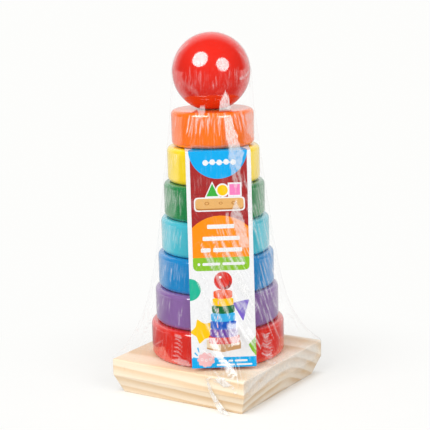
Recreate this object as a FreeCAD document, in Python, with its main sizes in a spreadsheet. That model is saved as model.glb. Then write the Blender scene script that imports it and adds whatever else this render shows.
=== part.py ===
"""A stacking ring toy in its shop wrapping, built piece by piece.

Units are millimetres and +Z is up. The origin is the centre of the base's underside.
The base's long-grain face looks along -Y, and its end-grain face looks along +X.
"""
import FreeCAD
import Part
import Sketcher
import math
import os

V = FreeCAD.Vector
UP = V(0, 0, 1)
NEAR = 1e-3                      # how closely an edge must match when it is picked out

# ---------------------------------------------------------------- driving sizes
SIZES = {
    "base_side": 100.0,          # the square pine board
    "base_thickness": 23.0,
    "bevel_rise": 12.4,          # the bevel under the board's four sides
    "bevel_inset": 4.9,
    "base_edge_radius": 1.0,
    "peg_diameter": 15.0,        # the dowel glued into the board
    "peg_top": 205.0,            # height of the dowel's end above the table
    "peg_end_radius": 4.0,
    "socket_depth": 15.0,
    "socket_clearance": 0.05,    # radial glue gap round the dowel
    "bore_diameter": 17.0,       # the hole through every ring
    "bore_chamfer": 0.8,
    "ring_height": 22.7,
    "ring_edge_radius": 3.0,
    "seat_gap": 0.05,            # between one loose piece and the next
    "red_diameter": 86.5,
    "purple_diameter": 80.0,
    "blue_diameter": 75.0,
    "turquoise_diameter": 69.7,
    "green_diameter": 64.8,
    "yellow_diameter": 59.2,
    "orange_diameter": 52.8,
    "ball_diameter": 49.7,
    "ball_centre": 206.1,
    "ball_hole_diameter": 16.0,
    "ball_hole_chamfer": 0.6,
    "card_width": 40.4,          # the printed card: a panel, and a flap folded under the top ring
    "card_thickness": 0.35,
    "card_standoff": 30.4,       # from the peg's axis to the fold
    "card_drop": 134.4,          # from the fold down to the lower edge
    "card_kick": 16.3,           # how much further out the lower edge stands
    "card_fold_radius": 0.6,
    "card_flap_end": 16.0,       # how far the flap runs past the peg's axis
    "card_facing": 35.0,         # degrees the card is turned from -Y towards +X
    "card_sideways": 1.75,       # how far the card sits off centre, along its width
    "film_wall": 0.3,            # the clear shrink film
    "film_gap": 0.4,             # from the film to the board and the ball
    "film_slack": 1.0,           # from the film's outside to the rings and the card
    "film_card_margin": 1.6,     # how far the film's span is wider than the card, each side
    "film_hem": 11.0,            # height of the film's lower edge
    "film_corner_reach": 71.3,   # out to the film's corners at the board's top
    "film_corner_fade": 19.0,    # how fast those corners close in with height
    "film_side_fade": 9.0,       # how fast its sides close in with height
}
RINGS = ("red", "purple", "blue", "turquoise", "green", "yellow", "orange")

doc = FreeCAD.newDocument("stacking_ring_toy")
sheet = doc.addObject("Spreadsheet::Sheet", "sheet")
for row, (alias, value) in enumerate(SIZES.items(), start=1):
    sheet.set(f"A{row}", alias)
    sheet.set(f"B{row}", str(value))
    sheet.setAlias(f"B{row}", alias)
doc.recompute()
pieces = []


class Size:
    """A size with its value and the sheet expression that drives it."""

    def __init__(self, value, text):
        self.value = value
        self.text = text

    def join(self, sign, other, value):
        other_text = other.text if isinstance(other, Size) else repr(other)
        return Size(value, f"({self.text} {sign} {other_text})")

    def __add__(self, other):
        return self.join("+", other, self.value + number(other))

    def __sub__(self, other):
        return self.join("-", other, self.value - number(other))

    def __mul__(self, other):
        return self.join("*", other, self.value * number(other))

    def __truediv__(self, other):
        return self.join("/", other, self.value / number(other))

    def __neg__(self):
        return Size(-self.value, f"(-1 * {self.text})")


def number(size):
    return size.value if isinstance(size, Size) else size


def cell(alias):
    return Size(SIZES[alias], f"sheet.{alias}")


def bind(thing, prop, size):
    """Ties one property, or one named constraint, of an object to the sheet."""
    thing.setExpression(prop, size.text)


def new_piece(kind, name):
    """A sub-part of the document, labelled with the name its file gets."""
    piece = doc.addObject(kind, name)
    piece.Label = name
    pieces.append(piece)
    return piece


def sketch_on(body, name, plane, height=None):
    """An empty sketch on one of the body's own origin planes, raised to a height."""
    sketch = body.newObject("Sketcher::SketchObject", name)
    plane_feature = next(f for f in body.Origin.OriginFeatures if f.Role == plane)
    sketch.AttachmentSupport = [(plane_feature, "")]
    sketch.MapMode = "FlatFace"
    if height:
        bind(sketch, "AttachmentOffset.Base.z", height)
    return sketch


def place_point(sketch, geometry, x, y):
    """Fixes the start point of a line, or the centre of a circle, at x and y from the origin."""
    point = 3 if isinstance(sketch.Geometry[geometry], Part.Circle) else 1
    for kind, axis, distance in (("DistanceX", -2, x), ("DistanceY", -1, y)):
        if number(distance) == 0:
            sketch.addConstraint(Sketcher.Constraint("PointOnObject", geometry, point, axis))
            continue
        made = sketch.addConstraint(
            Sketcher.Constraint(kind, -1, 1, geometry, point, number(distance)))
        constraint_name = f"{kind.lower()}_{geometry}"
        sketch.renameConstraint(made, constraint_name)
        bind(sketch, f"Constraints.{constraint_name}", distance)


def outline(sketch, corners):
    """A closed outline of straight lines through corners, each an (x, y) of sizes."""
    points = [V(number(x), number(y), 0) for x, y in corners]
    for start, end in zip(points, points[1:] + points[:1]):
        sketch.addGeometry(Part.LineSegment(start, end))
    count = len(corners)
    for line in range(count):
        sketch.addConstraint(
            Sketcher.Constraint("Coincident", line, 2, (line + 1) % count, 1))
    for line, (x, y) in enumerate(corners):
        place_point(sketch, line, x, y)


def circle(sketch, diameter):
    """A circle round the sketch's origin."""
    sketch.addGeometry(Part.Circle(V(), UP, number(diameter) / 2))
    place_point(sketch, 0, 0, 0)
    made = sketch.addConstraint(Sketcher.Constraint("Diameter", 0, number(diameter)))
    sketch.renameConstraint(made, "diameter")
    bind(sketch, "Constraints.diameter", diameter)


def pad(body, name, sketch, length):
    feature = body.newObject("PartDesign::Pad", name)
    feature.Profile = sketch
    bind(feature, "Length", length)
    doc.recompute()
    return feature


def turn(body, name, sketch):
    """Turns a profile once round the body's vertical axis."""
    feature = body.newObject("PartDesign::Revolution", name)
    feature.Profile = sketch
    feature.ReferenceAxis = (sketch, ["V_Axis"])
    feature.Angle = 360
    doc.recompute()
    return feature


def dress(body, kind, name, base, prop, size, wanted):
    """A fillet or chamfer on those edges of the base feature that wanted() picks."""
    edges = [f"Edge{i}" for i, edge in enumerate(base.Shape.Edges, 1) if wanted(edge)]
    if not edges:
        raise RuntimeError(f"{name} found no edge to work on")
    feature = body.newObject(f"PartDesign::{kind}", name)
    feature.Base = (base, edges)
    bind(feature, prop, size)
    doc.recompute()
    return feature


def is_round(edge, radius, *heights):
    """Whether an edge is a level circle of that radius at one of those heights."""
    curve = edge.Curve
    if not isinstance(curve, Part.Circle):
        return False
    level = not heights or any(abs(curve.Center.z - height) < NEAR for height in heights)
    return level and abs(curve.Radius - radius) < NEAR


# ---------------------------------------------------------------- the base board
side = cell("base_side")
thickness = cell("base_thickness")
rise = cell("bevel_rise")
inset = cell("bevel_inset")
socket = cell("peg_diameter") + cell("socket_clearance") * 2

board = new_piece("PartDesign::Body", "base_board")
half = side / 2
foot = half - inset


def square(sketch, reach):
    outline(sketch, [(-reach, -reach), (reach, -reach), (reach, reach), (-reach, reach)])


foot_sketch = sketch_on(board, "foot_outline", "XY_Plane")
square(foot_sketch, foot)
crease_sketch = sketch_on(board, "crease_outline", "XY_Plane", rise)
square(crease_sketch, half)
bevel = board.newObject("PartDesign::AdditiveLoft", "bevel")
bevel.Profile = foot_sketch
bevel.Sections = [crease_sketch]
bevel.Ruled = True
doc.recompute()
slab_sketch = sketch_on(board, "slab_outline", "XY_Plane", rise)
square(slab_sketch, half)
slab = pad(board, "slab", slab_sketch, thickness - rise)


def is_outer_edge(edge):
    """The board's visible corners and rims, but not the crease where the bevel starts."""
    heights = [vertex.Z for vertex in edge.Vertexes]
    return not all(abs(height - number(rise)) < NEAR for height in heights)


eased = dress(board, "Fillet", "eased_edges", slab, "Radius",
              cell("base_edge_radius"), is_outer_edge)
socket_sketch = sketch_on(board, "socket_outline", "XY_Plane", thickness)
circle(socket_sketch, socket)
socket_cut = board.newObject("PartDesign::Pocket", "peg_socket")
socket_cut.Profile = socket_sketch
bind(socket_cut, "Length", cell("socket_depth"))
doc.recompute()

# ---------------------------------------------------------------- the peg
peg = new_piece("PartDesign::Body", "peg")
peg_foot = thickness - cell("socket_depth") + cell("socket_clearance")
peg_sketch = sketch_on(peg, "peg_outline", "XY_Plane")
circle(peg_sketch, cell("peg_diameter"))
peg_length = cell("peg_top") - peg_foot
dowel = pad(peg, "dowel", peg_sketch, peg_length)
peg_radius = number(cell("peg_diameter") / 2)
dress(peg, "Fillet", "rounded_end", dowel, "Radius", cell("peg_end_radius"),
      lambda edge: is_round(edge, peg_radius, number(peg_length)))
bind(peg, "Placement.Base.z", peg_foot)

# ---------------------------------------------------------------- the seven rings
ring_height = cell("ring_height")
bore_radius = cell("bore_diameter") / 2
seat_gap = cell("seat_gap")
card_seat = thickness + seat_gap + (ring_height + seat_gap) * (len(RINGS) - 1)


def make_ring(colour, seat):
    """A turned beech ring: rounded rims outside, a bored hole with eased mouths."""
    ring = new_piece("PartDesign::Body", f"ring_{colour}")
    radius = cell(f"{colour}_diameter") / 2
    profile = sketch_on(ring, f"{colour}_profile", "XZ_Plane")
    outline(profile, [(bore_radius, 0), (radius, 0), (radius, ring_height),
                      (bore_radius, ring_height)])
    blank = turn(ring, f"{colour}_blank", profile)
    rounded = dress(ring, "Fillet", f"{colour}_rims", blank, "Radius",
                    cell("ring_edge_radius"), lambda edge: is_round(edge, number(radius)))
    dress(ring, "Chamfer", f"{colour}_bore_mouths", rounded, "Size",
          cell("bore_chamfer"), lambda edge: is_round(edge, number(bore_radius)))
    bind(ring, "Placement.Base.z", seat)


for level, colour in enumerate(RINGS[:-1]):
    make_ring(colour, thickness + seat_gap + (ring_height + seat_gap) * level)
make_ring(RINGS[-1], card_seat + cell("card_thickness") + seat_gap)

# ---------------------------------------------------------------- the ball on top
ball_radius = cell("ball_diameter") / 2
hole_radius = cell("ball_hole_diameter") / 2
hole_depth = cell("peg_top") + seat_gap - cell("ball_centre") + ball_radius

ball = new_piece("Part::Cut", "ball")
sphere = doc.addObject("Part::Sphere", "turned_ball")
bind(sphere, "Radius", ball_radius)
drill = doc.addObject("Part::Cylinder", "blind_hole")
bind(drill, "Radius", hole_radius)
bind(drill, "Height", hole_depth)
bind(drill, "Placement.Base.z", -ball_radius)
# the countersink's cone opens downwards, and its waist is where the hole meets the ball
mouth_height = math.sqrt(number(ball_radius) ** 2 - number(hole_radius) ** 2)
mouth = doc.addObject("Part::Cone", "hole_countersink")
bind(mouth, "Radius2", hole_radius)
bind(mouth, "Radius1", hole_radius + cell("ball_hole_chamfer") * 3)
bind(mouth, "Height", cell("ball_hole_chamfer") * 3)
mouth_top = "sqrt(sheet.ball_diameter ^ 2 - sheet.ball_hole_diameter ^ 2) / 2"
mouth.setExpression("Placement.Base.z", f"-1 * {mouth_top} - 2 * sheet.ball_hole_chamfer")
drilled = doc.addObject("Part::Fuse", "drilled_hole")
drilled.Base = drill
drilled.Tool = mouth
ball.Base = sphere
ball.Tool = drilled
bind(ball, "Placement.Base.z", cell("ball_centre"))
doc.recompute()

# ---------------------------------------------------------------- the printed card
card_thickness = cell("card_thickness")
standoff = cell("card_standoff")
drop = cell("card_drop")
kick = cell("card_kick")

card = new_piece("PartDesign::Body", "label_card")
card_profile = sketch_on(card, "card_profile", "YZ_Plane")
outline(card_profile, [
    (cell("card_flap_end"), 0),
    (cell("card_flap_end"), card_thickness),
    (-standoff, card_thickness),
    (-standoff - kick, card_thickness - drop),
    (-standoff - kick + card_thickness, card_thickness - drop),
    (-standoff + card_thickness, 0),
])
folded = pad(card, "folded_board", card_profile, cell("card_width"))
folded.Midplane = True
doc.recompute()


def is_outer_fold(edge):
    return all(abs(vertex.Y + number(standoff)) < NEAR for vertex in edge.Vertexes)


creased = dress(card, "Fillet", "fold", folded, "Radius", cell("card_fold_radius"),
                is_outer_fold)
hole_sketch = sketch_on(card, "card_hole_outline", "XY_Plane", card_thickness)
hole_sketch.addGeometry(Part.Circle(V(), UP, number(bore_radius)))
place_point(hole_sketch, 0, -cell("card_sideways"), 0)
hole_sketch.addConstraint(Sketcher.Constraint("Diameter", 0, number(cell("bore_diameter"))))
hole_sketch.setExpression(f"Constraints[{hole_sketch.ConstraintCount - 1}]",
                          cell("bore_diameter").text)
card_hole = card.newObject("PartDesign::Pocket", "peg_hole")
card_hole.Profile = hole_sketch
bind(card_hole, "Length", card_thickness * 2)
card.Placement.Rotation = FreeCAD.Rotation(UP, number(cell("card_facing")))
card.setExpression("Placement.Rotation.Angle", "sheet.card_facing")
card.setExpression("Placement.Base.x", "sheet.card_sideways * cos(sheet.card_facing * 1 deg)")
card.setExpression("Placement.Base.y", "sheet.card_sideways * sin(sheet.card_facing * 1 deg)")
bind(card, "Placement.Base.z", card_seat)
doc.recompute()

# ---------------------------------------------------------------- the shrink film
# Level sections, each a closed curve round the axis, are joined by straight-ruled skin. The film
# hangs down the board's sides, closes in over its corners to the red ring, follows the rings up in
# a straight cone, spans the folded card, and ends in a dome over the ball.
SECTION_POINTS = 72
FLARE_STEPS = (0, 3, 7, 12, 18, 26, 37, 55, 80, 110, 137)     # heights above the board's top
DOME_STEPS = 10
value = {alias: number(cell(alias)) for alias in SIZES}
board_top = value["base_thickness"]
rim_low = board_top + value["ring_height"] - value["ring_edge_radius"]
orange_top = number(card_seat) + value["card_thickness"] + value["ring_height"]
rim_high = orange_top - value["ring_edge_radius"]
fold_height = number(card_seat) + value["card_thickness"]
card_lean = value["card_kick"] / value["card_drop"]
facing = math.radians(value["card_facing"] - 90)
CORNER = math.sqrt(2)


def blend(start, end, part):
    return start + (end - start) * min(max(part, 0), 1)


def cone_radius(height):
    """The film's radius up the rings, and on from the orange ring's rim to the ball."""
    if height <= rim_high:
        part = (height - rim_low) / (rim_high - rim_low)
        red, orange = value["red_diameter"] / 2, value["orange_diameter"] / 2
        return red + (orange - red) * part + value["film_slack"]
    part = (height - rim_high) / (value["ball_centre"] - rim_high)
    return blend(cone_radius(rim_high), dome_radius(), math.sin(part * math.pi / 2))


def dome_radius():
    return value["ball_diameter"] / 2 + value["film_gap"] + value["film_wall"]


def square_reach(angle, height):
    """How far a square section with rounded corners reaches out at an angle."""
    above = max(height - board_top, 0)
    cone = cone_radius(max(height, board_top))
    flat = value["base_side"] / 2 + value["film_gap"] + value["film_wall"]
    flat = cone + (flat - cone_radius(board_top)) * math.exp(-above / value["film_side_fade"])
    corner = value["film_corner_reach"] - cone_radius(board_top)
    corner = cone + corner * math.exp(-above / value["film_corner_fade"])
    rounding = min((flat * CORNER - corner) / (CORNER - 1), flat)
    from_side = abs((angle + math.pi / 4) % (math.pi / 2) - math.pi / 4)
    if from_side <= math.atan((flat - rounding) / flat):
        return flat / math.cos(from_side)
    centre = (flat - rounding) * CORNER
    turned = math.pi / 4 - from_side
    return centre * math.cos(turned) + math.sqrt(rounding ** 2 - (centre * math.sin(turned)) ** 2)


def card_reach(angle, height):
    """How far the film stands out where it spans the card, or 0 where it doesn't."""
    above_fold = (height - fold_height) / (orange_top - fold_height)
    if not 0 <= height - board_top or above_fold >= 1:
        return 0
    cone = cone_radius(height)
    plane = value["card_standoff"] + card_lean * max(fold_height - height, 0)
    plane = blend(plane + value["film_slack"], cone, above_fold)
    turned = (angle - facing + math.pi) % (2 * math.pi) - math.pi
    outward = 1 if turned >= 0 else -1
    half_width = value["card_width"] / 2 + outward * value["card_sideways"]
    half_width += value["film_card_margin"]
    half_width = blend(half_width, 0, above_fold)
    edge = math.atan2(half_width, plane)
    if abs(turned) <= edge:
        return plane / math.cos(turned)
    meets_cone = edge + math.acos(min(cone * math.cos(edge) / plane, 1))
    if abs(turned) < meets_cone:
        return cone / math.cos(meets_cone - abs(turned))
    return 0


def section(height, reach):
    """A closed curve at a height, through points at reach(angle) from the axis."""
    curve = Part.BSplineCurve()
    points = []
    for step in range(SECTION_POINTS):
        angle = 2 * math.pi * step / SECTION_POINTS
        radius = reach(angle)
        points.append(V(radius * math.cos(angle), radius * math.sin(angle), height))
    curve.interpolate(Points=points, PeriodicFlag=True)
    return Part.Wire(curve.toShape())


def film_solid(inward, hem):
    """The film's outer form, moved inward by a wall, as one solid from the hem to the dome."""
    sections = []
    for height in [hem] + [board_top + step for step in FLARE_STEPS] + [orange_top]:
        sections.append(section(height, lambda angle: max(
            square_reach(angle, height), card_reach(angle, height)) - inward))
    radius = dome_radius() - inward
    for step in range(DOME_STEPS):
        tilt = math.pi / 2 * step / DOME_STEPS
        height = value["ball_centre"] + radius * math.sin(tilt)
        sections.append(section(height, lambda angle: radius * math.cos(tilt)))
    sections.append(Part.Vertex(V(0, 0, value["ball_centre"] + radius)))
    return Part.makeLoft(sections, True, True)


film = new_piece("Part::Feature", "shrink_film")
film_outside = film_solid(0, value["film_hem"])
film_inside = film_solid(value["film_wall"], value["film_hem"] - 1)
film.Shape = film_outside.cut(film_inside)
doc.recompute()

# ---------------------------------------------------------------- checks and files
for thing in doc.Objects:
    if "Invalid" in thing.State or "Error" in thing.State:
        raise RuntimeError(f"{thing.Name} failed: {thing.State}")
os.makedirs("parts", exist_ok=True)
for piece in pieces:
    shape = piece.Shape
    if shape.isNull() or not shape.isValid() or len(shape.Solids) != 1:
        raise RuntimeError(f"{piece.Label} isn't one sound solid")
    shape.exportStep(f"parts/{piece.Label}.step")
    print(piece.Label, round(shape.Volume), "mm3")
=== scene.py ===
"""A stacking ring toy in its shop wrapping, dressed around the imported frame. Metres, +Z up."""
import math
import random

import bpy
import numpy as np
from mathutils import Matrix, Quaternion, Vector
from mathutils.bvhtree import BVHTree
from mathutils.geometry import delaunay_2d_cdt


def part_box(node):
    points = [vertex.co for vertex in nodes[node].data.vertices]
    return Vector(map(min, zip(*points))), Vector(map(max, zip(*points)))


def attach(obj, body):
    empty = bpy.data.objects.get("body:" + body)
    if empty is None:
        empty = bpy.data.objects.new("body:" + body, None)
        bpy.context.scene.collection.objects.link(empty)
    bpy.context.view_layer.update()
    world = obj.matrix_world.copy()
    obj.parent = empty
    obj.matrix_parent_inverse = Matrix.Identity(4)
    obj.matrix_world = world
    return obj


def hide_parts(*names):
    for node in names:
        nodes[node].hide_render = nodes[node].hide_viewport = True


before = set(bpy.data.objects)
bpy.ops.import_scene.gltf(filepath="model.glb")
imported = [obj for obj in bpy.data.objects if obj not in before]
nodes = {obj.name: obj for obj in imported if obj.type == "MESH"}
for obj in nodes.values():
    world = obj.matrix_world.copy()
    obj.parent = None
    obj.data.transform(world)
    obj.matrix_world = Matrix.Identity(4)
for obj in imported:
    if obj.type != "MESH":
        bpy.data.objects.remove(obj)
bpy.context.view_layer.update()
MM = 0.001

# ------------------------------------------------------------------ the base board
# A square of planed pine, bevelled underneath on all four sides and left bare. The board is cut
# with its grain along X, so the side faces show long stripes and the ends show the growth rings.


def rgb(red, green, blue):
    """A colour read off a swatch, 0 to 255 a channel, as the linear colour that shaders take."""
    channels = [value / 255 for value in (red, green, blue)]
    linear = [c / 12.92 if c <= 0.04045 else ((c + 0.055) / 1.055) ** 2.4 for c in channels]
    return (*linear, 1.0)


class Recipe:
    """The node tree of one material, or of the world, built a node at a time."""

    def __init__(self, name, shelf=bpy.data.materials, shader="Principled BSDF"):
        self.owner = shelf.new(name)
        self.owner.use_nodes = True
        self.tree = self.owner.node_tree
        self.shader = self.tree.nodes[shader]

    def set(self, **settings):
        """What the shader's own sockets hold or are fed by: base_color=..., roughness=..."""
        for name, source in settings.items():
            title = name.replace("_", " ").title().replace("Ior", "IOR")
            self.feed(self.shader.inputs[title], source)
        return self

    def node(self, kind, *sources, **settings):
        """A node of that kind: settings are its properties, sources feed its sockets in order."""
        made = self.tree.nodes.new("ShaderNode" + kind)
        for name, value in settings.items():
            setattr(made, name, value)
        for socket, source in zip(made.inputs, sources):
            self.feed(socket, source)
        return made

    def feed(self, socket, source):
        """Links a socket to the socket, or gives a socket the value."""
        if isinstance(source, bpy.types.NodeSocket):
            self.tree.links.new(source, socket)
        else:
            socket.default_value = source

    def math(self, operation, *sources):
        return self.node("Math", *sources, operation=operation).outputs[0]

    def place(self, scale=(1, 1, 1), turn=(0, 0, 0), shift=(0, 0, 0)):
        """Object coordinates, moved, turned and scaled."""
        spot = self.node("TexCoord").outputs["Object"]
        return self.node("Mapping", spot, shift, turn, scale).outputs[0]

    def noise(self, where, detail, rough=0.5, scale=1.0):
        made = self.node("TexNoise")
        for name, source in (("Vector", where), ("Scale", scale), ("Detail", detail),
                             ("Roughness", rough)):
            self.feed(made.inputs[name], source)
        return made.outputs["Fac"]

    def between(self, amount, low, high, to_low=0.0, to_high=1.0):
        """A smooth step: amount from low to high becomes to_low to to_high."""
        made = self.node("MapRange", amount, low, high, to_low, to_high)
        made.interpolation_type = "SMOOTHSTEP"
        return made.outputs[0]

    def mix(self, amount, first, second, how="MIX"):
        """Two colours, mixed or combined the way that how says."""
        made = self.node("Mix", data_type="RGBA", blend_type=how)
        for index, source in ((0, amount), (6, first), (7, second)):
            self.feed(made.inputs[index], source)
        return made.outputs[2]

    def bump(self, height, depth, strength=1.0):
        made = self.node("Bump")
        for name, source in (("Height", height), ("Distance", depth), ("Strength", strength)):
            self.feed(made.inputs[name], source)
        self.set(normal=made.outputs[0])

    def surface(self, shader):
        """Ends a material's tree in this shader, where it isn't its own one alone."""
        self.tree.links.new(shader, self.tree.nodes["Material Output"].inputs["Surface"])


WARP = 1.1                           # how far a growth ring wanders, in rings
FIBRE_SHARE, PORE_SHARE = 0.55, 0.16  # how much of the tan each of them adds
ROSY = (0.97, 0.95, 0.95, 1.0)
END_GRAIN_AND_PAINTED_VEIL = (0.87, 0.90, 0.97, 1.0)


def wood(name, pale, tan, heart, pitch, lean):
    """Sawn wood with its fibres along X. heart is the growth rings' centre in Y and Z, pitch
    their distance, and lean how far they tilt along X."""
    recipe = Recipe(name)
    warp = recipe.noise(recipe.place(scale=(7, 22, 22)), 3)
    spot = recipe.node("SeparateXYZ", recipe.place(shift=(0, -heart[0], -heart[1]))).outputs
    up = recipe.math("ADD", spot[2], recipe.math("MULTIPLY", spot[0], lean))
    radius = recipe.math("SQRT", recipe.math("ADD", recipe.math("MULTIPLY", spot[1], spot[1]),
                                             recipe.math("MULTIPLY", up, up)))
    radius = recipe.math("ADD", radius, recipe.math("MULTIPLY", warp, pitch * WARP))
    year = recipe.math("FRACT", recipe.math("DIVIDE", radius, pitch))
    # each ring darkens slowly into late wood, and starts pale again at once
    late = recipe.math("MULTIPLY", recipe.between(year, 0.1, 0.8),
                       recipe.between(year, 1.0, 0.84))
    fibre = recipe.noise(recipe.place(scale=(14, 700, 700)), 4, 0.65)
    pores = recipe.noise(recipe.place(scale=(600, 1500, 130)), 2, 0.5)
    blotch = recipe.noise(recipe.place(scale=(9, 40, 40)), 2)
    tint = recipe.math("MULTIPLY", late, recipe.between(blotch, 0.25, 0.7, 0.3, 0.85))
    streaks = recipe.math("MULTIPLY", recipe.math("SUBTRACT", fibre, 0.45), FIBRE_SHARE)
    tint = recipe.math("ADD", tint, streaks)
    tint = recipe.math("ADD", tint, recipe.between(pores, 0.6, 0.75, 0, PORE_SHARE))
    wide = recipe.noise(recipe.place(scale=(5, 26, 26), shift=(2, 1, 0)), 1)
    rosy = tuple(channel * share for channel, share in zip(pale, ROSY))
    early = recipe.mix(recipe.between(wide, 0.35, 0.7), pale, rosy)
    # end grain drinks in more light, so it is darker than the sides; its bluish grey is also
    # painted, for the shade on the board's ends and the veil that the film over them reflects
    normal = recipe.node("NewGeometry").outputs["True Normal"]
    facing = recipe.node("SeparateXYZ", normal).outputs[0]
    end_grain = recipe.between(recipe.math("ABSOLUTE", facing), 0.5, 0.8)
    greyed = recipe.node("MixRGB", end_grain, recipe.mix(tint, early, tan), END_GRAIN_AND_PAINTED_VEIL,
                         blend_type="MULTIPLY")
    recipe.set(base_color=greyed.outputs[0], roughness=recipe.between(fibre, 0.2, 0.8, 0.5, 0.72),
               specular_ior_level=0.3)
    recipe.bump(recipe.math("ADD", fibre, recipe.math("MULTIPLY", late, -0.4)), 0.12 * MM)
    return recipe.owner


def show(name, material):
    """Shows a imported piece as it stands, in this material."""
    nodes[name].data.materials.clear()
    nodes[name].data.materials.append(material)


show("base_board", wood("planed_pine", rgb(242, 226, 201), rgb(218, 182, 136),
                        heart=(-9 * MM, -83 * MM), pitch=7.0 * MM, lean=0.03))

# ------------------------------------------------------------------ the peg
# A beech dowel with a rounded end, glued into a blind hole in the board and left bare. The rings
# hide it until they are lifted off.
show("peg", wood("beech_dowel", rgb(232, 200, 160), rgb(206, 162, 116),
                 heart=(3 * MM, -30 * MM), pitch=1.6 * MM, lean=1.0))

# ------------------------------------------------------------------ the seven rings
# Turned rings of light wood, each sprayed one colour with a gloss paint thick enough to round the
# rims and thin enough to let the grain telegraph through. They drop loosely over the peg.
PAINTS = {
    "red": rgb(222, 32, 14),
    "purple": rgb(136, 98, 160),
    "blue": rgb(0, 134, 200),
    "turquoise": rgb(66, 190, 208),
    "green": rgb(18, 134, 68),
    "yellow": rgb(252, 218, 0),
    "orange": rgb(252, 114, 8),
}
BORE_RADIUS = 8.5 * MM
RIM_ROUNDING, MOUTH_ROUNDING = 3 * MM, 0.9 * MM
PROFILE_STEP = 0.8 * MM
ROUND_STEPS = 160                    # how many sides a turned piece has
DARKER = 0.80                        # the paint where the grain shows, against where it doesn't


def paint(name, colour):
    """Gloss paint over turned wood."""
    recipe = Recipe(f"gloss_{name}")
    grain = recipe.noise(recipe.place(scale=(40, 520, 520), turn=(0, 0, 0.4)), 3, 0.6)
    cloud = recipe.noise(recipe.place(scale=(45, 45, 45)), 2)
    darker = tuple(channel * DARKER for channel in colour[:3]) + (1.0,)
    shade = recipe.math("ADD", recipe.between(grain, 0.52, 0.8, 0, 0.45),
                        recipe.between(cloud, 0.35, 0.8, 0, 0.35))
    peel = recipe.noise(recipe.place(), 2, scale=420)
    height = recipe.math("ADD", recipe.math("MULTIPLY", grain, 0.5),
                         recipe.math("MULTIPLY", peel, 0.4))
    recipe.bump(height, 0.03 * MM)
    recipe.set(base_color=recipe.mix(shade, colour, darker),
               roughness=recipe.between(cloud, 0.3, 0.7, 0.3, 0.42), specular_ior_level=0.05,
               coat_weight=1.0, coat_roughness=0.09, coat_ior=2.3)
    return recipe.owner


class Tree:
    """A Geometry Nodes tree with named inputs."""

    feed = Recipe.feed

    def __init__(self, name, **inputs):
        self.tree = bpy.data.node_groups.new(name, "GeometryNodeTree")
        face = self.tree.interface
        face.new_socket("Geometry", in_out="OUTPUT", socket_type="NodeSocketGeometry")
        self.sockets = {}
        for title, kind in inputs.items():
            made = face.new_socket(title.replace("_", " ").capitalize(), in_out="INPUT",
                                   socket_type="NodeSocket" + kind)
            self.sockets[title] = made.identifier
        self.entry = self.tree.nodes.new("NodeGroupInput")
        self.exit = self.tree.nodes.new("NodeGroupOutput")

    def __getitem__(self, title):
        """The socket that an input comes in by."""
        return next(s for s in self.entry.outputs if s.identifier == self.sockets[title])

    def node(self, kind, settings=None, **sources):
        """A node of that kind, with its properties set and its sockets fed by name."""
        made = self.tree.nodes.new(kind)
        for name, value in (settings or {}).items():
            setattr(made, name, value)
        for name, source in sources.items():
            socket = next(s for s in made.inputs
                          if s.name.lower().replace(" ", "_") == name and s.enabled)
            self.feed(socket, source)
        return made.outputs[0]

    def math(self, operation, *sources):
        made = self.tree.nodes.new("ShaderNodeMath")
        made.operation = operation
        for socket, source in zip(made.inputs, sources):
            self.feed(socket, source)
        return made.outputs[0]

    def finish(self, geometry, material):
        """Ends the tree in Realize Instances and Set Material."""
        real = self.node("GeometryNodeRealizeInstances", geometry=geometry)
        dressed = self.node("GeometryNodeSetMaterial", geometry=real, material=material)
        self.tree.links.new(dressed, self.exit.inputs[0])

    def grow(self, name, **values):
        """A plain mesh object with what the tree makes of these values."""
        thing = bpy.data.objects.new(name, bpy.data.meshes.new(name))
        bpy.context.scene.collection.objects.link(thing)
        modifier = thing.modifiers.new("tree", "NODES")
        modifier.node_group = self.tree
        for title, value in values.items():
            modifier[self.sockets[title]] = value
        seen = thing.evaluated_get(bpy.context.evaluated_depsgraph_get())
        mesh = bpy.data.meshes.new_from_object(seen)
        thing.modifiers.clear()
        thing.data = mesh
        mesh.name = name
        return thing


turned_ring = Tree("turned_ring", radius="Float", bore="Float", foot="Float", height="Float",
                   rim="Float", mouth="Float", paint="Material")
wall = turned_ring.math("SUBTRACT", turned_ring["radius"], turned_ring["bore"])
middle = turned_ring.math("MULTIPLY", turned_ring.math("ADD", turned_ring["radius"],
                                                       turned_ring["bore"]), 0.5)
blank = turned_ring.node("GeometryNodeCurvePrimitiveQuadrilateral", width=wall,
                         height=turned_ring["height"])
spot = turned_ring.node("GeometryNodeInputPosition")
side = turned_ring.tree.nodes.new("ShaderNodeSeparateXYZ")
turned_ring.tree.links.new(spot, side.inputs[0])
outside = turned_ring.math("GREATER_THAN", side.outputs[0], 0.0)
rounding = turned_ring.node("ShaderNodeMix", factor=outside, a=turned_ring["mouth"],
                            b=turned_ring["rim"])
eased = turned_ring.node("GeometryNodeFilletCurve", {"mode": "POLY"}, curve=blank,
                         radius=rounding, count=10)
stepped = turned_ring.node("GeometryNodeResampleCurve", {"mode": "LENGTH"}, curve=eased,
                           length=PROFILE_STEP)
hoop = turned_ring.node("GeometryNodeCurvePrimitiveCircle", resolution=ROUND_STEPS, radius=middle)
body = turned_ring.node("GeometryNodeCurveToMesh", curve=hoop, profile_curve=stepped)
lift = turned_ring.tree.nodes.new("ShaderNodeCombineXYZ")
turned_ring.feed(lift.inputs[2], turned_ring.math(
    "ADD", turned_ring["foot"], turned_ring.math("MULTIPLY", turned_ring["height"], 0.5)))
seated = turned_ring.node("GeometryNodeTransform", geometry=body, translation=lift.outputs[0])
turned_ring.finish(turned_ring.node("GeometryNodeSetShadeSmooth", geometry=seated),
                   turned_ring["paint"])

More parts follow.
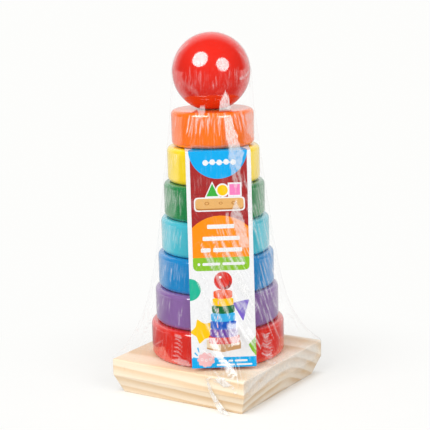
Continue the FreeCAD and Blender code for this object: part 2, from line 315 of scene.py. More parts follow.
paints = {name: paint(name, colour) for name, colour in PAINTS.items()}
for colour_name, gloss in paints.items():
    node = f"ring_{colour_name}"
    low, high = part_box(node)
    ring = turned_ring.grow(f"turned_{node}", radius=(high.y - low.y) / 2, bore=BORE_RADIUS,
                            foot=low.z, height=high.z - low.z, rim=RIM_ROUNDING,
                            mouth=MOUTH_ROUNDING, paint=gloss)
    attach(ring, node)
    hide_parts(node)

# ------------------------------------------------------------------ the printed card
# A strip of coated board, folded once: the flap is threaded over the peg under the orange ring,
# and the long face leans out down the front. It is printed white, with flat shapes in bright inks.
CARD_WIDTH = 40.4                    # all in millimetres, as is the artwork
CARD_THICKNESS = 0.35
CARD_STANDOFF = 30.4                 # from the peg's axis to the fold
CARD_KICK = 16.3                     # how much further out the lower edge stands
CARD_FOLD_RADIUS = 0.6
CARD_FLAP_END = 16                   # how far the flap runs past the peg's axis
CARD_SIDEWAYS = 1.75                 # how far the card sits off centre, along its width
CARD_FACING = math.radians(35)
PEG_HOLE_RADIUS = 8.5

card_low, card_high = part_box("label_card")
card_drop = (card_high.z - card_low.z) / MM
card_face = math.hypot(card_drop, CARD_KICK)
card_top = -CARD_STANDOFF - CARD_FLAP_END

INKS = {
    "white": rgb(240, 240, 241),
    "sky": rgb(0, 172, 238),
    "brick": rgb(170, 42, 42),
    "brick_dark": rgb(150, 34, 38),
    "amber": rgb(255, 146, 10),
    "lime": rgb(140, 196, 40),
    "teal": rgb(30, 184, 150),
    "sun": rgb(255, 202, 0),
    "violet": rgb(122, 96, 200),
    "pink": rgb(248, 130, 190),
    "blush": rgb(244, 190, 192),
    "leaf": rgb(60, 176, 60),
    "plank": rgb(232, 178, 108),
    "plank_edge": rgb(190, 128, 62),
    "red": rgb(222, 44, 32),
    "wine": rgb(150, 28, 24),
    "flame": rgb(244, 92, 30),
    "forest": rgb(20, 112, 60),
    "azure": rgb(60, 178, 232),
    "royal": rgb(20, 92, 196),
    "grape": rgb(112, 66, 168),
    "cream": rgb(244, 222, 190),
    "tan": rgb(206, 158, 108),
}


def disc(u, v, radius, stretch=1.0, steps=40):
    """A circle, or an oval that is stretched down the card."""
    turns = [2 * math.pi * step / steps for step in range(steps)]
    return [(u + radius * math.cos(t), v + radius * stretch * math.sin(t)) for t in turns]


def rounded(corners, radius, steps=4):
    """A polygon whose corners are rounded off."""
    outline = []
    befores, afters = corners[-1:] + corners[:-1], corners[1:] + corners[:1]
    for before, corner, after in zip(befores, corners, afters):
        corner = Vector(corner)
        start = corner + (Vector(before) - corner).normalized() * radius
        end = corner + (Vector(after) - corner).normalized() * radius
        for step in range(steps + 1):
            t = step / steps
            outline.append(tuple(start * (1 - t) ** 2 + corner * 2 * t * (1 - t) + end * t ** 2))
    return outline


def bar(left, top, right, bottom, radius=0.0):
    """A rectangle, with its corners rounded off if there is a radius."""
    corners = [(left, top), (right, top), (right, bottom), (left, bottom)]
    return rounded(corners, radius) if radius else corners


def star(u, v, outer, inner, points, first):
    """A star with soft tips; first is the bearing of one tip, in degrees."""
    tips = []
    for step in range(points * 2):
        reach = inner if step % 2 else outer
        turn = math.radians(first + 180 * step / points)
        tips.append((u + reach * math.cos(turn), v - reach * math.sin(turn)))
    return rounded(tips, 1.1)


def scallops(u, v, radius, bumps, depth, steps=72):
    """A cloud: a disc whose rim swells in and out."""
    turns = [2 * math.pi * step / steps for step in range(steps)]
    reach = [radius + depth * abs(math.sin(t * bumps / 2)) for t in turns]
    return [(u + r * math.cos(t), v + 0.85 * r * math.sin(t)) for r, t in zip(reach, turns)]


def words(centre, top, bottom, *lengths, gap=1.6):
    """A line of print, as a bar for each word."""
    left = centre - (sum(lengths) + gap * (len(lengths) - 1)) / 2
    for length in lengths:
        yield "white", bar(left, top, left + length, bottom, 0.7)
        left += length + gap


# the artwork: u runs from the card's left edge, v down from the fold, and later inks lie on top
BORDER = 2.6
art = [("white", bar(0, card_top, CARD_WIDTH, card_face)), ("brick", bar(BORDER, -2, 37.9, 47.6))]
art += [("brick_dark", bar(BORDER, line, 37.9, line + 0.35))
        for line in (20.6, 26.3, 32.2, 37.0, 41.8)]
art.append(("amber", disc(20.2, 65, 24.9)))
art += [("white", bar(side, 30, side + BORDER, card_face)) for side in (0, CARD_WIDTH - BORDER)]
art += [("white", bar(0, 66.1, CARD_WIDTH, card_face)), ("lime", bar(BORDER, 64, 37.8, 74.4, 3.4)),
        ("amber", bar(BORDER, 60, 37.8, 66.1)), ("sky", disc(20, -1, 18.3, steps=64))]

# a string of beads across the sky disc
art.append(("white", bar(10.5, 6.9, 31, 7.5, 0.25)))
art += [("white", disc(12.2 + 4.3 * bead, 7.2 - (bead % 2) * 0.3, 1.75, steps=20))
        for bead in range(5)]
# three building blocks on a plank, each with a white edge
for ink, block in (("leaf", [(12.2, 28), (16, 20.2), (19.6, 28)]),
                   ("sun", disc(22.3, 24.4, 3.3, steps=28)),
                   ("pink", bar(26.6, 20.8, 33.2, 27.6))):
    middle = sum((Vector(corner) for corner in block), Vector((0, 0))) / len(block)
    edge = [tuple(middle + (Vector(corner) - middle) * 1.28) for corner in block]
    art += [("white", edge), (ink, block)]
art += [("white", bar(4.4, 28.6, 36, 37.4, 2.6)), ("plank_edge", bar(5.2, 29.4, 35.2, 36.6, 2.2)),
        ("plank", bar(5.2, 29.4, 35.2, 35.6, 2.2))]
for knot, at in ((1.5, 12.4), (1.2, 21.0), (1.6, 29.2)):
    art += [("plank_edge", disc(at, 32.4, knot, 0.7, steps=20)),
            ("plank", disc(at, 32.4, knot * 0.6, 0.7, steps=16))]

art += words(20.6, 45.6, 48.2, 17)
art += words(20.6, 53.0, 55.6, 23)
art += words(20.6, 60.2, 62.8, 6, 18)
art += words(20.2, 69.4, 71.1, 1.6, 11, 14, gap=1.4)

# loose shapes on the white half
art += [("teal", disc(0, 85.9, 6.95)), ("sun", star(7.1, 112.1, 8.4, 4.9, 5, 112)),
        ("violet", rounded([(26.4, 94.9), (37.0, 92.8), (32.8, 106.6)], 0.8)),
        ("lime", rounded([(35.6, 121.5), (42, 115.6), (46, 124), (42, 131.2)], 0.8)),
        ("sky", bar(0, 128.9, CARD_WIDTH, card_face))]
art += words(25.8, 130.7, 131.9, 5, 3, 8, gap=1.0)
art += words(26.6, 133.2, 134.3, 7, 3.4, 10, gap=1.0)
for dash in ([(3.4, 122.4), (4.3, 122.2), (5.0, 125.3), (4.3, 125.4)],
             [(1.6, 125.8), (2.2, 125.1), (4.0, 127.2), (3.4, 127.8)],
             [(0.7, 129.0), (0.9, 128.2), (3.3, 128.9), (3.2, 129.6)]):
    art.append(("azure", dash))
art.append(("blush", scallops(8.9, 130.2, 4.7, 9, 0.9)))
for swirl in range(3):
    u, v = 6.4 + 2.6 * swirl, 130.0 + 0.5 * (swirl % 2)
    art += [("white", disc(u, v, 0.9, steps=14)), ("blush", disc(u, v, 0.55, steps=14))]

# the toy itself, drawn small: a board, seven rings and a ball
art += [("tan", [(9.6, 119.6), (9.6, 123.4), (18.4, 125.9), (30.9, 123.8), (30.9, 118.6)]),
        ("cream", [(9.6, 117.6), (9.6, 122.4), (18.4, 124.8), (18.4, 119.4)]),
        ("cream", [(9.6, 117.8), (20, 115.4), (30.9, 117.4), (18.4, 120.4)])]
drawn_rings = (("red", 11.1, 30.2, 114.2, 120.8), ("grape", 12.0, 29.1, 110.2, 116.6),
               ("royal", 12.3, 28.4, 105.2, 111.6), ("azure", 12.8, 27.9, 100.2, 106.6),
               ("forest", 13.5, 27.6, 95.4, 101.6), ("sun", 14.0, 27.1, 91.0, 96.8),
               ("flame", 14.7, 26.5, 86.4, 92.2))
for ink, left, right, top, bottom in drawn_rings:
    half = (right - left) / 2
    art += [(ink, disc(left + half, bottom - 1.5, half, 1.5 / half)),
            (ink, bar(left, top + 1.4, right, bottom - 1.5)),
            (ink, disc(left + half, top + 1.4, half, 1.4 / half)),
            ("blush", disc(left + half * 0.55, (top + bottom) / 2 + 0.6, 0.35, 4.2, steps=12))]
art += [("red", disc(21, 80.8, 5.7)), ("wine", disc(22.6, 83.0, 3.2)),
        ("red", disc(21.4, 81.6, 3.3)), ("white", disc(19.2, 78.6, 0.9, steps=14))]

# every outline cuts the sheet, and each bit takes the ink that was printed over it last
fold_angle = math.pi / 2 + math.atan(CARD_KICK / card_drop)
fold_reach = CARD_FOLD_RADIUS / math.tan(fold_angle / 2)
points, loops = [], []
peg_hole = disc(CARD_WIDTH / 2 - CARD_SIDEWAYS, -CARD_STANDOFF, PEG_HOLE_RADIUS, steps=56)
folds = [fold_reach * (step - 2) / 2 for step in range(5)]
for outline in [outline for ink, outline in art] + [peg_hole]:
    kept = [(min(max(u, 0), CARD_WIDTH), min(max(v, card_top), card_face)) for u, v in outline]
    first = len(points)
    points += [Vector(point) for point in kept]
    loops += [(first + step, first + (step + 1) % len(kept)) for step in range(len(kept))]
for fold in folds:
    loops.append((len(points), len(points) + 1))
    points += [Vector((0, fold)), Vector((CARD_WIDTH, fold))]
cut = delaunay_2d_cdt(points, loops, [], 0, 1e-4)
spots, faces = np.array(cut[0]), cut[2]


def inside(outline, where):
    """Which of these points lie inside a closed outline."""
    hits = np.zeros(len(where), bool)
    for (u0, v0), (u1, v1) in zip(outline, outline[1:] + outline[:1]):
        crosses = (v0 > where[:, 1]) != (v1 > where[:, 1])
        if v0 != v1:
            hits ^= crosses & (where[:, 0] < (u1 - u0) * (where[:, 1] - v0) / (v1 - v0) + u0)
    return hits


centres = np.array([spots[list(face)].mean(0) for face in faces])
ink_of = np.zeros(len(faces), int)
ink_names = list(INKS)
for ink, outline in art:
    ink_of[inside(outline, centres)] = ink_names.index(ink)
on_card = ~inside(peg_hole, centres)


def card_point(u, v):
    """A point on the card's outer side, v along the strip and 0 at the fold."""
    across = u - CARD_WIDTH / 2 + CARD_SIDEWAYS
    lean = Vector((-CARD_KICK, -card_drop)) / card_face
    if v < -fold_reach:
        out, up = -CARD_STANDOFF - v, 0
    elif v > fold_reach:
        out, up = -CARD_STANDOFF + lean.x * v, lean.y * v
    else:
        t = (v + fold_reach) / (2 * fold_reach)
        out = -CARD_STANDOFF + fold_reach * ((1 - t) ** 2 + lean.x * t ** 2)
        up = fold_reach * lean.y * t ** 2
    # across the card, then outwards: both turn with the side that the card faces
    return Vector((across * math.cos(CARD_FACING) - out * math.sin(CARD_FACING),
                   across * math.sin(CARD_FACING) + out * math.cos(CARD_FACING), up))


def new_object(name, mesh, *materials):
    """A shown object for this mesh."""
    thing = bpy.data.objects.new(name, mesh)
    bpy.context.scene.collection.objects.link(thing)
    for material in materials:
        mesh.materials.append(material)
    return thing


card_mesh = bpy.data.meshes.new("printed_card")
chosen = [face for face, kept in zip(faces, on_card) if kept]
used = sorted({corner for face in chosen for corner in face})
place_of = {corner: index for index, corner in enumerate(used)}
card_mesh.from_pydata(
    [card_point(*spots[corner]) * MM + Vector((0, 0, card_high.z)) for corner in used], [],
    [[place_of[corner] for corner in reversed(face)] for face in chosen])
ink_layer = card_mesh.color_attributes.new("ink", "FLOAT_COLOR", "CORNER")
chosen_inks = [ink for ink, kept in zip(ink_of, on_card) if kept]
corner_inks = [INKS[ink_names[ink]] for ink in chosen_inks for corner in range(3)]
ink_layer.data.foreach_set("color", [channel for ink in corner_inks for channel in ink])

print_gloss = Recipe("printed_card")
ink = print_gloss.node("Attribute", attribute_name="ink").outputs["Color"]
fibres = print_gloss.noise(print_gloss.place(scale=(700, 700, 1600)), 3, 0.6)
# the inks are thin, so the fibres show through and the whole card reads a little under white
stock = print_gloss.node("MapRange", fibres, 0.3, 0.7, 0.72, 0.80)
print_gloss.set(base_color=print_gloss.mix(1.0, ink, stock.outputs[0], "MULTIPLY"),
                roughness=print_gloss.between(fibres, 0.3, 0.7, 0.3, 0.42),
                specular_ior_level=0.2)
print_gloss.bump(fibres, 0.02 * MM)
greyboard = Recipe("card_back")
pulp = greyboard.noise(greyboard.place(scale=(300, 300, 900)), 4, 0.7)
greyboard.set(base_color=greyboard.mix(pulp, rgb(206, 200, 190), rgb(228, 224, 216)),
              roughness=0.85)
greyboard.bump(pulp, 0.04 * MM)

card = new_object("printed_card", card_mesh, print_gloss.owner, greyboard.owner)
thicken = card.modifiers.new("board", "SOLIDIFY")
thicken.thickness = CARD_THICKNESS * MM
thicken.offset = -1
thicken.material_offset = 1
thicken.material_offset_rim = 1
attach(card, "label_card")
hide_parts("label_card")

# ------------------------------------------------------------------ the ball on top
# A turned ball with a blind hole drilled from below, sprayed the same red as the lowest ring and
# pushed down over the peg's rounded end.
BALL_HOLE_RADIUS = 8                 # all in millimetres
BALL_HOLE_TOP = 205.05
HOLE_END_BEVEL = 0.5
HOLE_MOUTH_WIDENS = 0.9
HOLE_MOUTH_DEPTH = 1.2
BALL_ROWS = 80

ball_low, ball_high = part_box("ball")
ball_radius = (ball_high.y - ball_low.y) / 2 / MM
ball_centre = ball_high.z / MM - ball_radius
mouth_angle = math.asin((BALL_HOLE_RADIUS + HOLE_MOUTH_WIDENS) / ball_radius)
bottom = ball_centre - ball_radius * math.cos(mouth_angle)
profile = [(0, BALL_HOLE_TOP), (BALL_HOLE_RADIUS - HOLE_END_BEVEL, BALL_HOLE_TOP),
           (BALL_HOLE_RADIUS, BALL_HOLE_TOP - HOLE_END_BEVEL),
           (BALL_HOLE_RADIUS, bottom + HOLE_MOUTH_DEPTH)]
for step in range(BALL_ROWS + 1):
    turn = mouth_angle + (math.pi - mouth_angle) * step / BALL_ROWS
    profile.append((ball_radius * math.sin(turn), ball_centre - ball_radius * math.cos(turn)))
profile[-1] = (0, profile[-1][1])


def lathe(name, profile, material):
    """A solid of revolution about Z; the profile runs from the axis back to the axis, with the
    solid on its left."""
    turns = [2 * math.pi * step / ROUND_STEPS for step in range(ROUND_STEPS)]
    spots = [Vector((radius * math.cos(turn), radius * math.sin(turn), height)) * MM
             for radius, height in profile[1:-1] for turn in turns]
    start, end = len(spots), len(spots) + 1
    spots += [Vector((0, 0, height)) * MM for radius, height in (profile[0], profile[-1])]
    faces = []
    for step in range(ROUND_STEPS):
        beside = (step + 1) % ROUND_STEPS
        faces.append((start, beside, step))
        for row in range(0, start - ROUND_STEPS, ROUND_STEPS):
            above = row + ROUND_STEPS
            faces.append((row + step, row + beside, above + beside, above + step))
        faces.append((above + step, above + beside, end))
    mesh = bpy.data.meshes.new(name)
    mesh.from_pydata(spots, [], faces)
    mesh.shade_smooth()
    return new_object(name, mesh, material)


ball = lathe("turned_ball", profile, paints["red"])
ball.data.set_sharp_from_angle(angle=math.radians(35))
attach(ball, "ball")
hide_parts("ball")

# ------------------------------------------------------------------ the shrink film
# A sleeve of thin clear film, pulled over the finished toy and shrunk with hot air: tight on the
# ball and the rims, drawn in a cone to the board's corners, and ragged along its lower edge.
FILM_ROWS = 205
SIDE_SHARE = 0.8                     # the share of the rows that is below the ball's middle
FRONT_COLUMNS, BACK_COLUMNS = 190, 48
FRONT = (-138, 42)                   # bearings between which the film's net is fine
FILM_THICKNESS = 0.12                # in millimetres, and a few times what the real film has
WELL_OUTSIDE = 0.2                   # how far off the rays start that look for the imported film
film_low, film_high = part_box("shrink_film")
film_node = nodes["shrink_film"]
skin = BVHTree.FromPolygons([v.co for v in film_node.data.vertices],
                            [tuple(face.vertices) for face in film_node.data.polygons])
draws = random.Random(7)

# the net: columns by bearing, rows by height and then by tilt over the ball
columns = np.concatenate([
    np.linspace(FRONT[0], FRONT[1], FRONT_COLUMNS, endpoint=False),
    np.linspace(FRONT[1], FRONT[0] + 360, BACK_COLUMNS, endpoint=False)])
hem = film_low.z / MM
side_rows = int(FILM_ROWS * SIDE_SHARE)
# rows are closest over the board's top edge and the lowest ring, where the finest pulls run
row_heights = np.interp(np.arange(side_rows + 1), (0, 14, 62, 132, side_rows),
                        (hem, 18, 50, 158, ball_centre))
net_shape = (FILM_ROWS, len(columns))
base, outward = np.zeros((*net_shape, 3)), np.zeros((*net_shape, 3))
for row in range(FILM_ROWS):
    height, tilt = row_heights[min(row, side_rows)], 0.0
    if row > side_rows:
        tilt = math.pi / 2 * (row - side_rows) / (FILM_ROWS - side_rows)
    for column, angle in enumerate(np.radians(columns)):
        ray = Vector((math.cos(angle) * math.cos(tilt), math.sin(angle) * math.cos(tilt),
                      math.sin(tilt)))
        centre = Vector((0, 0, height * MM))
        met = skin.ray_cast(centre + ray * WELL_OUTSIDE, -ray)[0]
        base[row, column] = np.array(met) / MM
        outward[row, column] = ray

high = base[..., 2]
reach = np.hypot(base[..., 0], base[..., 1])
bearing = np.broadcast_to(columns, net_shape)
white = np.zeros(net_shape)          # how white the film is painted: its own milkiness, and painted highlights and reflections
strain_and_glints = np.zeros(net_shape)         # how much it is drawn into fine threads, painted white as their whitening and as streaks of highlight
lift = np.zeros(net_shape)           # how far it stands off


def turned(degrees):
    """Differences of bearing, taken the short way round."""
    return (degrees + 180) % 360 - 180


def stroke(path, width):
    """1 on a line over the film and 0 away from it. The path is (bearing, height) pairs, and the
    line thins out at both ends."""
    near = np.zeros(net_shape)
    for index, ((b0, h0), (b1, h1)) in enumerate(zip(path, path[1:])):
        east, north = np.radians(turned(bearing - b0)) * reach, high - h0
        run, rise = math.radians(turned(b1 - b0)) * reach, h1 - h0
        along = np.clip((east * run + north * rise) / (run ** 2 + rise ** 2 + 1e-6), 0, 1)
        off = np.hypot(east - run * along, north - rise * along)
        taper = np.sin(np.pi * np.clip((along + index) / (len(path) - 1), 0.04, 0.96)) ** 0.5
        near = np.maximum(near, np.exp(-(off / (width * taper)) ** 2))
    return near


def crease(path, width, strength, rise=0.3):
    """A crease: it raises the film and paints it white, for its own whitening and as a painted
    highlight.
    """
    mark = stroke(path, width)
    np.maximum(white, mark * strength, out=white)
    np.maximum(lift, mark * rise, out=lift)


def patch(corners, strength, rise=0.15):
    """A flat facet of film, raised a little and painted white as a whole: a painted reflection of
    a softbox.
    """
    where = np.stack([bearing.ravel(), high.ravel()], 1)
    mark = inside(corners, where).reshape(net_shape)
    np.maximum(white, mark * strength, out=white)
    np.maximum(lift, mark * rise, out=lift)


def region(west, east, low, top, strength, layer, soft=5.0):
    """A soft-edged area between two bearings and two heights, laid over a layer."""
    middle, half = (west + east) / 2, (east - west) / 2
    side = np.clip((half - np.abs(turned(bearing - middle))) / soft + 0.5, 0, 1)
    over = np.clip((high - low) / soft + 0.5, 0, 1)
    under = np.clip((top - high) / soft + 0.5, 0, 1)
    np.maximum(layer, side * (over * under) * strength, out=layer)


# the long gather down the front, painted white as the glare of the softboxes on it: over the
# orange ring, the card's right half and the board's edge
patch([(-42, 179), (-31, 180), (-31, 172), (-28, 168), (-37, 160), (-42, 168)], 0.62)
patch([(-40, 168), (-30, 166), (-26, 158), (-31, 146), (-36, 150), (-40, 159)], 0.5)
patch([(-41, 157), (-37, 158), (-33, 140), (-36, 134)], 0.32)
patch([(-35, 154), (-31, 152), (-29, 137), (-31, 138)], 0.36)
patch([(-42, 121), (-36, 130), (-31, 118), (-28, 101), (-35, 99), (-38, 110)], 0.5)
patch([(-47, 121), (-44, 122), (-43, 107), (-45, 108)], 0.36)
# the pleat against the ball, the small one beside it, and the painted sheen on the orange ring's
# side
patch([(-38.8, 196), (-34, 192), (-32, 184), (-48, 184), (-46, 190)], 0.72, 0.7)
patch([(-77, 186), (-66, 187.5), (-66, 183), (-74, 180)], 0.45, 0.5)
patch([(-10, 182), (8, 181), (8, 168), (-8, 166), (-17, 170), (-12, 175)], 0.34)
# folds on the ball's right side and upper left, and slanting ones on its lower left
for fold in range(7):
    crease([(-8 + 3 * fold, 221 - 1.2 * fold), (2 + 3 * fold, 214 - fold), (4 + 3 * fold, 206)],
           0.4, 0.22)
for fold in range(3):
    crease([(-134 + 4 * fold, 211), (-130 + 4 * fold, 219), (-120 + 6 * fold, 226 - 0.6 * fold)],
           0.36, 0.45)
crease([(-14, 203), (0, 204), (13, 207.5)], 0.7, 0.55)
crease([(-12, 201), (2, 201), (14, 204)], 0.5, 0.45)
for fold in range(7):
    crease([(-104 + 4 * fold, 204 - fold), (-99 + 4 * fold, 199 - fold)], 0.5, 0.14)
# little scales and a lens of trapped air on the red ring, left of the card
for scale in range(6):
    drop = 2.6 * scale
    crease([(-95, 41.5 - drop), (-90.5, 42.1 - drop), (-86, 40.6 - drop)], 0.42, 0.4)
patch([(-95, 43.8), (-92.5, 45.3), (-88, 45.3), (-86, 43.6), (-88, 42.8), (-92.5, 42.8)], 0.3)
patch([(-93, 28), (-88, 30.5), (-80, 30), (-77, 27.5), (-85, 26.4)], 0.34)
# short tucks over the orange ring's upper rim, thickest at the front
for tuck in range(90):
    at = draws.choice((draws.uniform(-180, 180), draws.uniform(-90, -15)))
    top = draws.uniform(179, 183)
    crease([(at, top), (at + draws.uniform(-2, 2), top - draws.choice((2, 3, 5, 10)))],
           draws.uniform(0.28, 0.5), draws.uniform(0.1, 0.75), 0.2)
# fine lines down the ball
for line in range(90):
    at = draws.uniform(-180, 180)
    top = draws.uniform(201, 212)
    crease([(at, top), (at + draws.uniform(-2, 2), top - draws.uniform(3, 8))],
           0.28, draws.uniform(0.05, 0.3), 0.1)
# a fan of pulls round the red ring towards each corner
for corner in (-135, -45, 45, 135):
    for pull in range(16):
        at = draws.uniform(-36, 36)
        top = draws.uniform(26, 44)
        crease([(corner + at, top), (corner + at * 0.8, top - draws.uniform(3, 8))],
               draws.uniform(0.3, 0.4), draws.uniform(0.1, 0.3), 0.2)
for pull in range(13):
    at, top = -26 + draws.uniform(0, 6), 45.5 - 1.5 * pull
    crease([(at, top), (at + 5, top - 2.6), (at + draws.uniform(9, 14), top - 3)], 0.32,
           draws.uniform(0.5, 1.0))
# crinkles where the pulls cross the board's edge and run into the tail
for crinkle in range(10):
    at = draws.uniform(-64, -48)
    top = 23 - (at + 64) * 0.2 + draws.uniform(-2, 0.5)
    crease([(at, top), (at + draws.uniform(-3, 4), top - draws.uniform(0, 2))],
           draws.uniform(0.35, 0.6), draws.uniform(0.5, 1.0), 0.5)

# long pulls right of the card, and bright ones that cross its lower half to the front corner
for pull in range(64):
    at, top = draws.uniform(-30, 8), draws.uniform(56, 152)
    length = draws.choice((6, 10, 18, 30))
    crease([(at, top), (at + 0.5 * length, top - length)], draws.uniform(0.28, 0.42),
           draws.uniform(0.25, 0.9), 0.2)
patch([(-64.4, 45.4), (-59.2, 45.7), (-54.3, 35.3), (-50, 30.8), (-48.4, 27.4), (-51.6, 27),
       (-53.5, 28.7), (-58.7, 34.8)], 0.85)
for prong in range(4):
    crease([(-55 + 1.4 * prong, 32), (-52.4 + 1.2 * prong, 27 + 0.5 * prong),
            (-50.6 + 1.1 * prong, 23.4 + 0.7 * prong)], 0.36, 1.0)
patch([(-50.2, 53.2), (-43.2, 54.6), (-43.2, 41.5), (-48.6, 41.3)], 0.7)
for path in ([(-69.1, 37.5), (-60.8, 34.5)], [(-61.4, 52.7), (-55.1, 43)],
             [(-54.8, 50.4), (-51.2, 41.9)],
             [(-61.5, 28), (-54.9, 21.7), (-50.3, 19.6), (-48.1, 12.6)]):
    crease(path, 0.36, 0.8)
# where it has crinkled against the board's top edge
patch([(-60.2, 22), (-57, 23.3), (-55.4, 24), (-53.5, 22.4), (-50.3, 19.6), (-53.9, 18.1),
       (-57, 20.2)], 1.0, 0.5)
for pull in range(46):
    at, top = draws.uniform(-76, -34), draws.uniform(48, 112)
    length = draws.choice((5, 9, 14, 20))
    crease([(at, top), (at + 0.62 * length, top - length)], draws.uniform(0.4, 0.7),
           draws.uniform(0.3, 1.0), 0.25)

# fine threads, and the haze where the film is doubled or slack, both painted white: partly the
# film's own whitening, partly painted highlights and reflections
region(-180, 180, 22, 184, 0.08, strain_and_glints)
region(60, 210, 40, 150, 0.3, strain_and_glints, 30)
for ring_foot, pull in ((46, 0.1), (68.6, 0.18), (91.3, 0.3), (114, 0.4), (136.7, 0.08)):
    region(-126, -84, ring_foot + 8, ring_foot + 23, pull * 0.6, strain_and_glints, 8)
    for thread in range(int(110 * pull)):
        at, top = draws.uniform(-126, -86), ring_foot + 22 - draws.uniform(0, 7)
        crease([(at, top), (at + draws.uniform(-2, 1), top - draws.uniform(4, 12))], 0.28,
               draws.uniform(0.15, 0.5), 0.1)
region(-58, -26, 40, 112, 0.35, strain_and_glints)
region(-28, 20, 50, 150, 0.22, strain_and_glints)
region(-180, 180, 160, 179, 0.1, strain_and_glints, 3)
region(-180, 180, 198, 209, 0.2, strain_and_glints, 3)
region(-66, -46, 20, 34, 0.6, strain_and_glints)
region(8, 48, 26, 48, 0.12, white, 8)
region(-44, 40, 14, 25, 0.5, white, 4)
region(-40, 48, 22, 27, 0.25, white, 3)
region(-5, 24, 198, 222, 0.04, white)
region(-152, -122, 196, 226, 0.05, white)

# threads run down the cone; below the middle, those at the front lean towards the corner on the
# right, and both threads and ripples fade out at the crown, where all bearings meet
leaning = np.clip((bearing + 84) / 12, 0, 1) * np.clip((40 - bearing) / 30, 0, 1)
flow = bearing - 0.5 * np.clip(135 - high, 0, 100) * leaning
run_along = np.stack([flow * 0.7 * np.clip(reach / 18, 0, 1), high, np.zeros(net_shape)], -1)

# the hem is ragged, in lobes that each draw their height, place and width
ragged = np.zeros(len(columns))
for lobe in range(22):
    drop, at, width = draws.uniform(-2.4, 2.4), draws.uniform(-180, 180), draws.uniform(3, 12)
    ragged += drop * np.exp(-(turned(columns - at) / width) ** 2)
loose = np.clip(1 - (high - hem) / 12, 0, 1) ** 1.3
waves = 9
ripple = sum(np.sin(np.radians(bearing) * draws.randint(5, 40) + high * draws.uniform(0.02, 0.22)
                    + draws.uniform(0, 6.28)) for wave in range(waves)) / waves
ripple = 0.3 * np.clip(ripple, -0.6, 1) * np.clip(reach / 16, 0, 1)

skin_points = base + outward * (lift + ripple)[..., None]
skin_points[..., 2] += loose * ragged

points = [point * MM for point in skin_points.reshape(-1, 3)]
crown = len(points)
points.append((0, 0, film_high.z))
wide = len(columns)
net = []
for row in range(FILM_ROWS):
    for column in range(wide):
        here, beside = row * wide + column, row * wide + (column + 1) % wide
        if row < FILM_ROWS - 1:
            net.append((here, beside, beside + wide, here + wide))
        else:
            net.append((here, beside, crown))

# a loose end has been crumpled into a tail that hangs down beside the front corner to the table
TAIL = [(23.5, -50.6, 21), (26, -51.0, 15.5), (28.8, -50.8, 10), (31.5, -50.0, 5),
        (35, -50.6, 1.8), (40, -52.6, 1.0)]
TABLE_CLEARANCE = 0.3
ACROSS_TAIL = (0.88, 0.35)           # which way its width runs, in X and Z
tail_rows, tail_columns = 44, 11
along = np.linspace(0, len(TAIL) - 1, tail_rows)
spine = np.stack([np.interp(along, range(len(TAIL)), axis) for axis in zip(*TAIL)], -1)
half_width = np.interp(along, (0, 1.5, 4, 5), (0.5, 1.5, 2.8, 0.8))
tail_points = np.zeros((tail_rows, tail_columns, 3))
for row in range(tail_rows):
    for column in range(tail_columns):
        side = half_width[row] * (column / (tail_columns - 1) * 2 - 1)
        fold = 0.35 * math.sin(column * 0.9 + row * 0.15)
        fold += 0.12 * math.sin(column * 0.5 - row * 0.5)
        spot = spine[row] + np.array([side * ACROSS_TAIL[0], -abs(fold), side * ACROSS_TAIL[1]])
        spot[2] = max(spot[2], TABLE_CLEARANCE)
        tail_points[row, column] = spot
# the tail is painted white in flecks: its crumpled film's own milkiness and painted glints of its
# folds
tail_milk_and_glare = np.array([[draws.choice((0.3, 0.8, 1.6)) * min(1, 0.25 + row / 20)
                       for column in range(tail_columns)] for row in range(tail_rows)])
tail_net = [(row * tail_columns + column, row * tail_columns + column + 1,
             (row + 1) * tail_columns + column + 1, (row + 1) * tail_columns + column)
            for row in range(tail_rows - 1) for column in range(tail_columns - 1)]


def film_sheet(name, points, faces, haze_and_glare, strain_and_glint_values, flowing):
    """A mesh of film with what the material reads: its milkiness and painted glare, the threads'
    whitening and painted glints, and the way the threads run.
    """
    mesh = bpy.data.meshes.new(name)
    mesh.from_pydata(points, [], faces)
    mesh.shade_smooth()
    for title, kind, field, values in (("haze_and_glare", "FLOAT", "value", haze_and_glare),
                                       ("strain_and_glints", "FLOAT", "value", strain_and_glint_values),
                                       ("flow", "FLOAT_VECTOR", "vector", flowing)):
        layer = mesh.attributes.new(title, kind, "POINT")
        layer.data.foreach_set(field, np.asarray(values, np.float32).reshape(-1))
    return mesh


film_mesh = film_sheet("shrink_film_sleeve", points, net, np.append(white, 0),
                       np.append(strain_and_glints, 0), np.append(run_along, (0, 230, 0)))
tail_mesh = film_sheet("shrink_film_tail", tail_points.reshape(-1, 3) * MM, tail_net, tail_milk_and_glare,
                       tail_milk_and_glare * 0.2, tail_points * 0.3)

LEAST_WHITE, MOST_WHITE, OPACITY = 0.002, 0.85, 0.46
clear_film = Recipe("clear_film_gloss")
haze_and_glare = clear_film.node("Attribute", attribute_name="haze_and_glare").outputs["Fac"]
glinting_threads = clear_film.node("Attribute", attribute_name="strain_and_glints").outputs["Fac"]
down = clear_film.node("Attribute", attribute_name="flow").outputs["Vector"]


def along_threads(across, along, shift=(0, 0, 0)):
    """The threads' own coordinates, scaled across them and along them."""
    return clear_film.node("Mapping", down, shift, (0, 0, 0), (across, along, 1)).outputs[0]


threads = clear_film.noise(along_threads(1.5, 0.075), 2)
gusts = clear_film.noise(along_threads(0.12, 0.06, shift=(9, 4, 0)), 2)
grit = clear_film.noise(along_threads(0.9, 0.35, shift=(3, 7, 0)), 3, 0.6)
# the threads and the haze are painted white: partly the film's own whitening, partly painted
# highlights and reflections
fine = clear_film.math("MULTIPLY", clear_film.between(threads, 0.55, 0.62), glinting_threads)
fine = clear_film.math("MULTIPLY", fine, clear_film.between(gusts, 0.36, 0.58, 0.05, 1.0))
milk_and_glare = clear_film.math("MULTIPLY", haze_and_glare, clear_film.between(grit, 0.25, 0.6, 0.35, 1.15))
